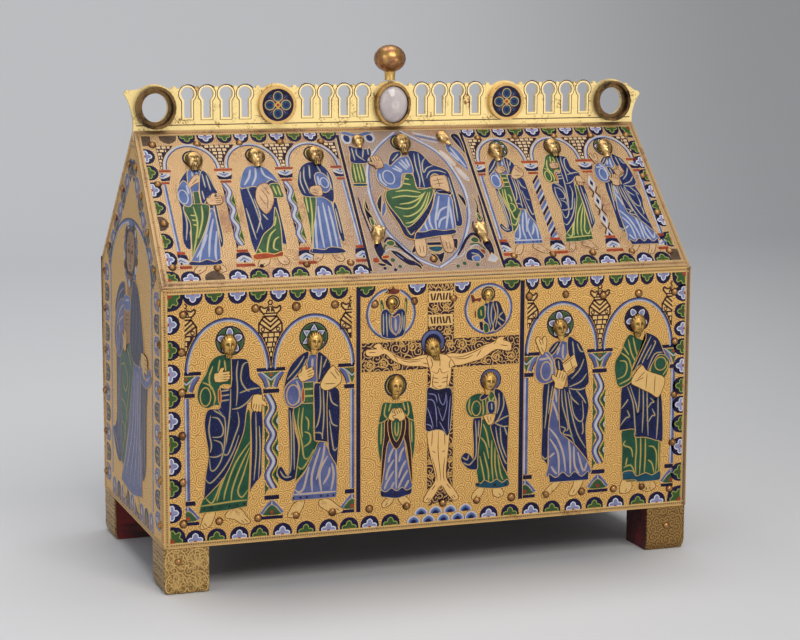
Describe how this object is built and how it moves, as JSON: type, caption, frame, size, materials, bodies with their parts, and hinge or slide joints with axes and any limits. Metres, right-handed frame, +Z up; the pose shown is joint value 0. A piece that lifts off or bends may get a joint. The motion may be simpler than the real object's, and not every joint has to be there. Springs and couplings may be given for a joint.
{
  "type": "reliquary casket",
  "caption": "House-shaped casket on four feet, clad in gilt and enamelled copper sheets, with a pierced crest, a crystal and a ball knob along its ridge.",
  "frame": {"origin": "on the ground at the middle of the base, under the four feet", "axes": "+X along the casket to the right as seen from the front, -Y out of the front, +Z up"},
  "size_m": [0.294, 0.1462, 0.2725],
  "materials": {
    "painted_oak": "crimson paint, worn, on oak",
    "enamelled_copper": "gilt copper sheet with enamelled cells, engraved ground, rubbed",
    "gilt_copper": "gilt, engraved, soft sheen",
    "worn_gilt": "gilding rubbed through to brown copper",
    "enamel": "polished opaque enamel",
    "rock_crystal": "polished, clear"
  },
  "bodies": {
    "root": {"front_board": "painted_oak", "back_board": "painted_oak", "front_roof_board": "painted_oak", "back_roof_board": "painted_oak", "left_gable_board": "painted_oak", "right_gable_board": "painted_oak", "floor_board": "painted_oak", "front_left_foot": "painted_oak", "front_right_foot": "painted_oak", "back_left_foot": "painted_oak", "back_right_foot": "painted_oak", "front_plate": "enamelled_copper", "back_plate": "enamelled_copper", "front_roof_plate": "enamelled_copper", "back_roof_plate": "enamelled_copper", "left_gable_plate": "enamelled_copper", "right_gable_plate": "enamelled_copper", "front_left_foot_cover": "gilt_copper", "front_right_foot_cover": "gilt_copper", "back_left_foot_cover": "gilt_copper", "back_right_foot_cover": "gilt_copper", "crest": "gilt_copper", "open_setting_left": "worn_gilt", "open_setting_right": "worn_gilt", "crystal_setting": "gilt_copper", "rock_crystal": "rock_crystal", "enamel_medallion_left": "enamel", "enamel_medallion_right": "enamel", "knob": "worn_gilt", "apostle_head_1": "gilt_copper", "apostle_head_2": "gilt_copper", "apostle_head_3": "gilt_copper", "apostle_head_4": "gilt_copper", "apostle_head_5": "gilt_copper", "apostle_head_6": "gilt_copper", "apostle_head_7": "gilt_copper", "apostle_head_8": "gilt_copper", "apostle_head_9": "gilt_copper", "apostle_head_10": "gilt_copper", "crucified_head": "gilt_copper", "virgin_head": "gilt_copper", "john_head": "gilt_copper", "roundel_head_left": "gilt_copper", "roundel_head_right": "gilt_copper", "majesty_head": "gilt_copper", "angel_head": "gilt_copper", "eagle_head": "gilt_copper", "lion_head": "gilt_copper", "ox_head": "gilt_copper"}
  },
  "joints": []
}
